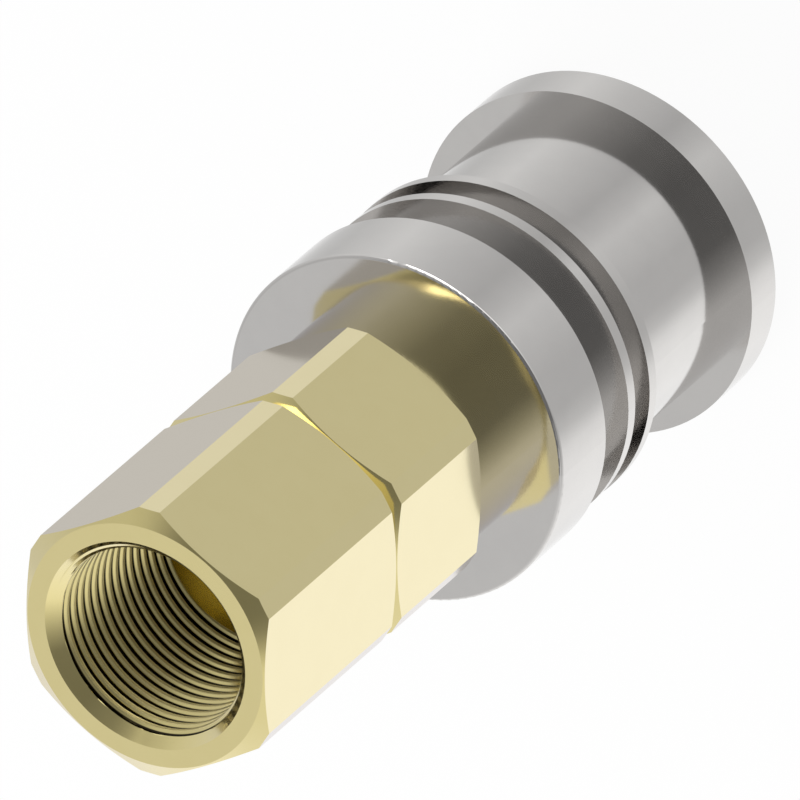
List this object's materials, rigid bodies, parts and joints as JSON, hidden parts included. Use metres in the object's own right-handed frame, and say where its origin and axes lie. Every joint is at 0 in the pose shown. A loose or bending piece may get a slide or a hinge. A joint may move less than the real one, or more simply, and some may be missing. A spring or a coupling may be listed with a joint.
{
  "type": "hydraulic quick coupling",
  "caption": "Female hydraulic quick coupling with a threaded port, wrench hexagons, a grooved sliding sleeve, locking balls and a spring-loaded shut-off valve.",
  "frame": {"origin": "centre of the mouth end, which the coupling stands on", "axes": "+Z along the coupling's axis, from the mouth that takes the plug to the threaded port; +X square to one wrench flat"},
  "size_m": [0.0422, 0.0422, 0.1024],
  "materials": {
    "brass": "fine turned and milled, semi-bright",
    "plated_steel": "bright zinc-nickel plate over fine turning",
    "hardened_steel": "ground",
    "spring_steel": "drawn wire, lightly oiled",
    "ball_steel": "polished",
    "seal_rubber": "moulded, matt",
    "backup_plastic": "turned white plastic"
  },
  "bodies": {
    "coupler_body": {"coupler_body": "brass", "rear_adapter": "brass", "sleeve_stop_ring": "spring_steel", "spring_seat_washer": "hardened_steel", "sleeve_spring": "spring_steel", "valve_spring": "spring_steel", "valve_guide": "brass", "adapter_seal": "seal_rubber", "adapter_backup_ring": "backup_plastic", "plug_seal": "seal_rubber", "plug_backup_ring": "backup_plastic", "locking_ball_1": "ball_steel", "locking_ball_2": "ball_steel", "locking_ball_3": "ball_steel", "locking_ball_4": "ball_steel", "locking_ball_5": "ball_steel", "locking_ball_6": "ball_steel", "locking_ball_7": "ball_steel", "locking_ball_8": "ball_steel"},
    "sleeve_carrier": {"thrust_washer": "hardened_steel"},
    "sleeve": {"outer_sleeve": "plated_steel", "locking_ring": "hardened_steel", "sleeve_keeper_ring": "spring_steel"},
    "valve": {"valve_poppet": "hardened_steel", "poppet_seal": "seal_rubber"}
  },
  "joints": [
    {"name": "sleeve_slide", "type": "slide", "parent": "coupler_body", "child": "sleeve_carrier", "axis": [0, 0, 1], "range_m": [0, 0.0058], "stiffness_N_per_m": 4000, "springref_m": -0.008, "deforming": ["sleeve_spring"]},
    {"name": "sleeve_spin", "type": "hinge", "parent": "sleeve_carrier", "child": "sleeve", "pos_m": [0, 0, 0.024], "axis": [0, 0, 1], "continuous": true},
    {"name": "valve_slide", "type": "slide", "parent": "coupler_body", "child": "valve", "axis": [0, 0, 1], "range_m": [0, 0.005], "stiffness_N_per_m": 2500, "springref_m": -0.006, "deforming": ["valve_spring"]}
  ]
}
